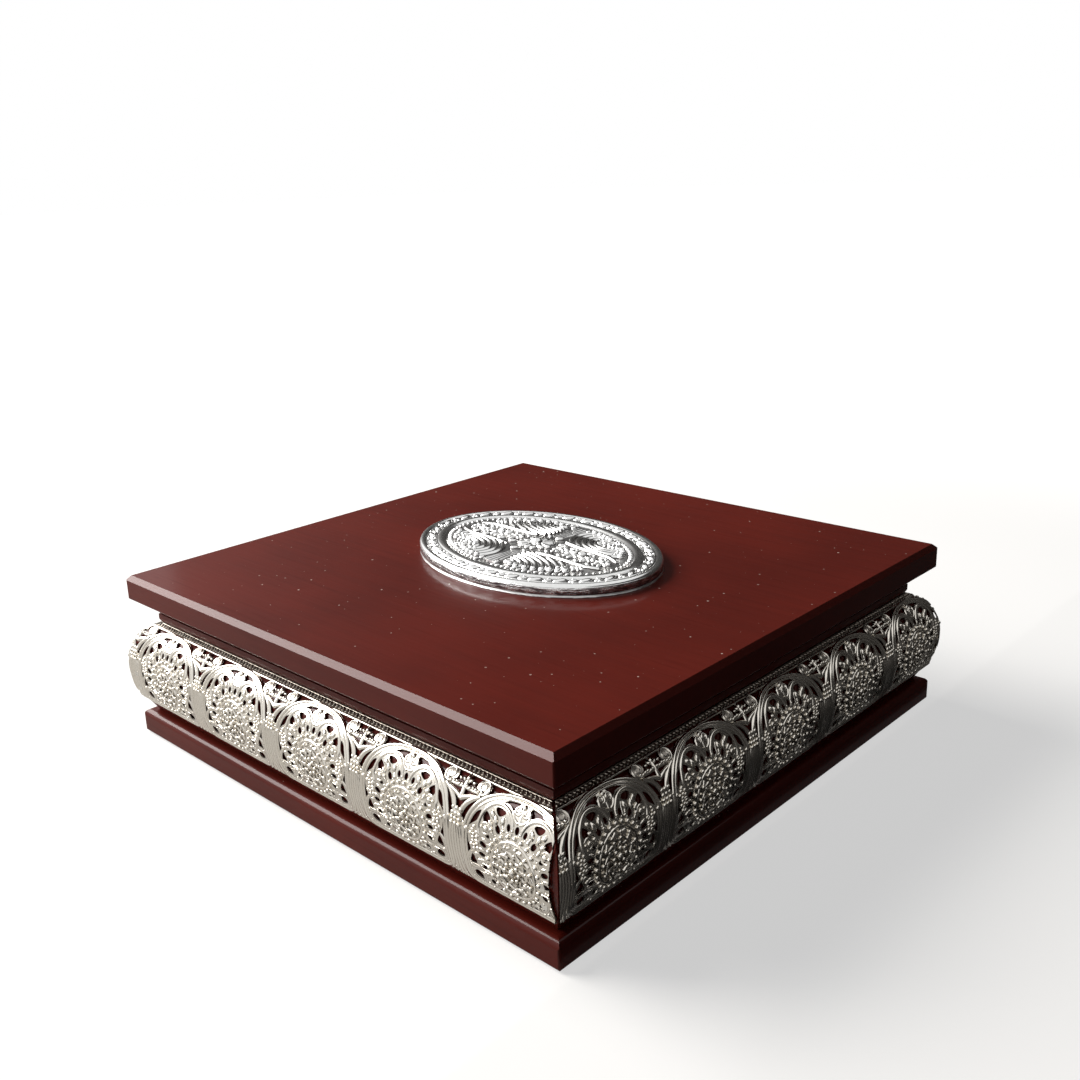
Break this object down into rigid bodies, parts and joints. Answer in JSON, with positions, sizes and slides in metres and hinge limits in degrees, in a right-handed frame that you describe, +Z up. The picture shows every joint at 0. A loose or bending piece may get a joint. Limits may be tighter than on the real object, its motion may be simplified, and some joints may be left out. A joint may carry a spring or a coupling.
{
  "type": "rosary box",
  "caption": "Square wooden keepsake box with bulging walls under pierced metal strips, a board lid hinged at the back and an oval metal medallion on the lid.",
  "frame": {"origin": "middle of the underside, on the surface that the box stands on", "axes": "+Z up; -Y towards the front, where the lid opens; +Y towards the hinges; +X to the right"},
  "size_m": [0.1414, 0.1414, 0.0445],
  "materials": {
    "wood_base": "stained and lacquered, dark red-brown",
    "wood_wall": "stained and lacquered, dark red-brown",
    "wood_rail": "stained and lacquered, dark red-brown",
    "wood_lid": "stained and lacquered, red-brown, semi-gloss",
    "core_wood": "plain",
    "band_silver": "stamped, pierced, bright",
    "nail_silver": "bright",
    "medallion_silver": "stamped, side wall brushed",
    "velvet": "short pile velvet, dark red",
    "felt": "pressed felt, dark green",
    "hinge_brass": "polished, slightly dulled",
    "pin_steel": "drawn wire",
    "screw_brass": "slotted heads"
  },
  "bodies": {
    "box": {"base_board": "wood_base", "base_felt": "felt", "base_screws": "screw_brass", "front_wall": "wood_wall", "right_wall": "wood_wall", "back_wall": "wood_wall", "left_wall": "wood_wall", "front_band": "band_silver", "right_band": "band_silver", "back_band": "band_silver", "left_band": "band_silver", "band_nails": "nail_silver", "floor_lining": "velvet", "front_lining": "velvet", "right_lining": "velvet", "back_lining": "velvet", "left_lining": "velvet", "left_hinge_fixed_leaf": "hinge_brass", "right_hinge_fixed_leaf": "hinge_brass", "hinge_fixed_screws": "screw_brass", "left_hinge_pin": "pin_steel", "right_hinge_pin": "pin_steel"},
    "lid": {"left_hinge_moving_leaf": "hinge_brass", "right_hinge_moving_leaf": "hinge_brass", "hinge_moving_screws": "screw_brass", "lid_board": "wood_lid", "lid_front_rail": "wood_rail", "lid_right_rail": "wood_rail", "lid_back_rail": "wood_rail", "lid_left_rail": "wood_rail", "lid_lining": "velvet", "medallion_core": "core_wood", "medallion_shell": "medallion_silver"}
  },
  "joints": [
    {"name": "lid_hinge", "type": "hinge", "parent": "box", "child": "lid", "pos_m": [0, 0.06615, 0.0311], "axis": [-1, 0, 0], "range_deg": [0, 115]}
  ]
}
